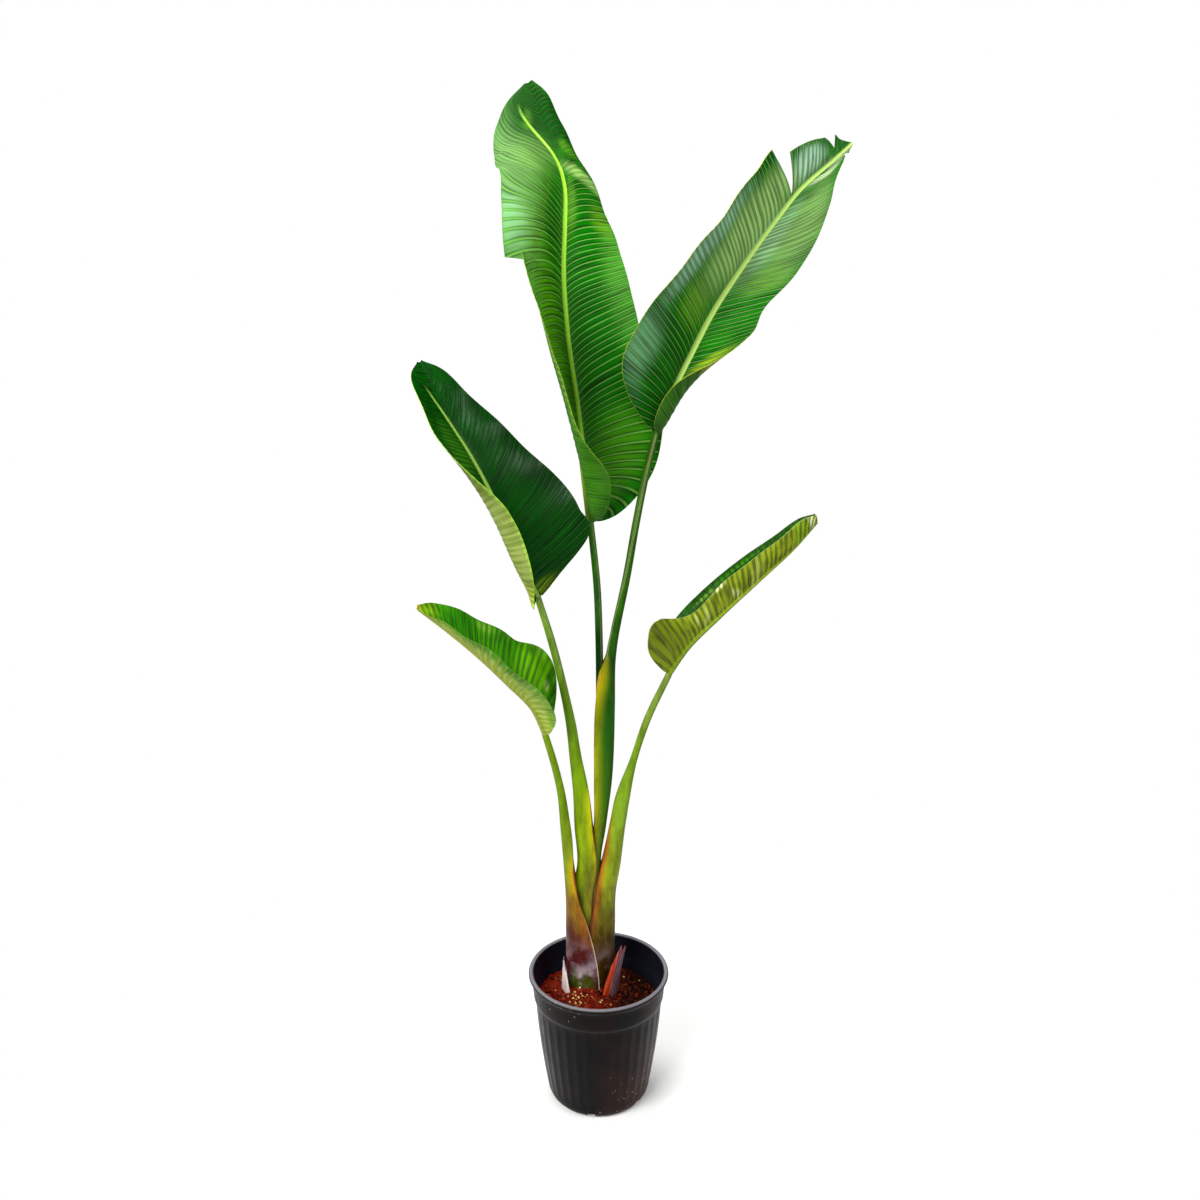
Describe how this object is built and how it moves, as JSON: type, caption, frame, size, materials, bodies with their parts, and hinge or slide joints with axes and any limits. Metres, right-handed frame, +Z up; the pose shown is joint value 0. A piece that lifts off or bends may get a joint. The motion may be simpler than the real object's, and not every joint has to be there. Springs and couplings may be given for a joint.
{
  "type": "potted bird of paradise",
  "caption": "Potted giant bird of paradise: a fan of long-stalked paddle leaves with clasping sheaths, standing in bark potting mix in a ribbed black nursery pot.",
  "frame": {"origin": "centre of the pot's flat underside, on the surface that the pot stands on", "axes": "+Z up the plant; -Y is the plant's front, where most leaves show their faces; +X to the right seen from the front"},
  "size_m": [0.6521, 0.2961, 1.6892],
  "materials": {
    "pot_plastic": "moulded black nursery plastic, slightly glossy and dusty",
    "potting_mix": "damp reddish-brown coir and bark mix",
    "leaf_stalk": "smooth waxy green stalk, yellow and purple towards the sheath",
    "leaf_blade": "glossy dark green blade with a yellow-green midrib and paler underside",
    "dry_sheath": "dried reddish-brown leaf base"
  },
  "bodies": {
    "root": {"pot": "pot_plastic", "soil": "potting_mix", "leaf_1_stalk": "leaf_stalk", "leaf_1_blade": "leaf_blade", "leaf_2_stalk": "leaf_stalk", "leaf_2_blade": "leaf_blade", "leaf_3_stalk": "leaf_stalk", "leaf_3_blade": "leaf_blade", "leaf_4_stalk": "leaf_stalk", "leaf_4_blade": "leaf_blade", "leaf_5_stalk": "leaf_stalk", "leaf_5_blade": "leaf_blade", "old_sheath_left": "dry_sheath", "old_sheath_right": "dry_sheath"}
  },
  "joints": []
}
